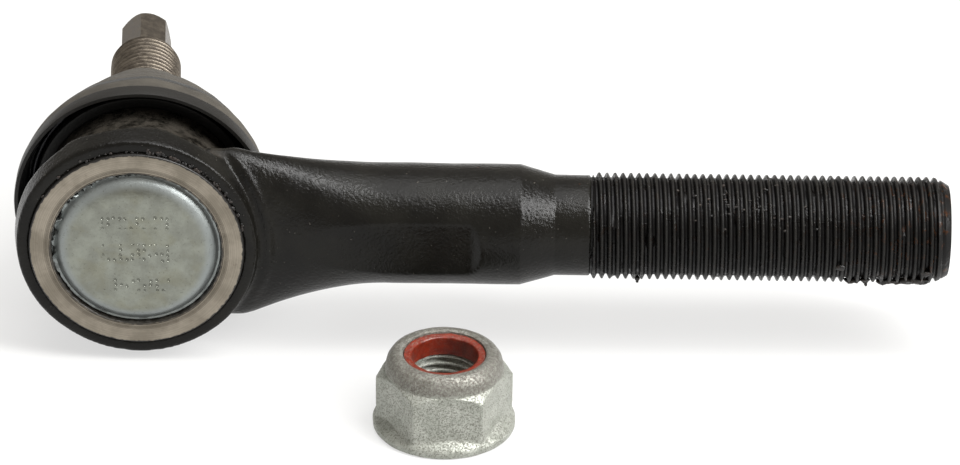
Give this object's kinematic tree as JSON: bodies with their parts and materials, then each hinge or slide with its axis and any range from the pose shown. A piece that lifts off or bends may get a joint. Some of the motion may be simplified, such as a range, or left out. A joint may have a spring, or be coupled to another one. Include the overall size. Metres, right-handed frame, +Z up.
{
  "type": "tie rod end",
  "caption": "Steering tie rod end with a forged socket on a male threaded shank, a tapered ball stud, a rubber dust boot and a flanged lock nut.",
  "frame": {"origin": "The centre of the ball, about which the stud swings and turns.", "axes": "+X runs along the shank towards its threaded end, +Y runs square out of the socket on the stud's side, and +Z is up as the part lies on a bench on the edge of its boot."},
  "size_m": [0.176, 0.1232, 0.0486],
  "materials": {
    "forging_paint": "semi-gloss black coat over a forged surface",
    "stud_steel": "heat treated steel with an oil film",
    "bearing_polymer": "moulded acetal",
    "bush_polymer": "moulded black nylon",
    "spring_steel": "oiled spring steel",
    "zinc_plate": "satin zinc plate with blotches",
    "boot_rubber": "dusty moulded rubber",
    "zinc_flake": "mottled dull zinc flake",
    "red_nylon": "moulded nylon"
  },
  "bodies": {
    "socket": {"housing": "forging_paint", "upper_bearing": "bearing_polymer", "lower_bearing": "bearing_polymer", "preload_spring": "spring_steel", "cover_plate": "zinc_plate", "dust_boot": "boot_rubber", "boot_lower_ring": "spring_steel"},
    "collar": {"boot_collar_bush": "bush_polymer"},
    "stud": {"ball_stud": "stud_steel"},
    "nut": {"stud_nut": "zinc_flake", "nut_lock_insert": "red_nylon"}
  },
  "joints": [
    {"name": "stud_swing", "type": "hinge", "parent": "socket", "child": "collar", "pos_m": [0, 0, 0], "axis": [0, 0, 1], "range_deg": [-23.5, 16.5], "deforming": ["dust_boot"]},
    {"name": "stud_turn", "type": "hinge", "parent": "collar", "child": "stud", "pos_m": [0, 0, 0], "axis": [-0.061, 0.9981, 0], "continuous": true},
    {"name": "nut_lift", "type": "slide", "parent": "socket", "child": "nut", "axis": [0, 0, 1], "range_m": [0, 0.05]}
  ]
}
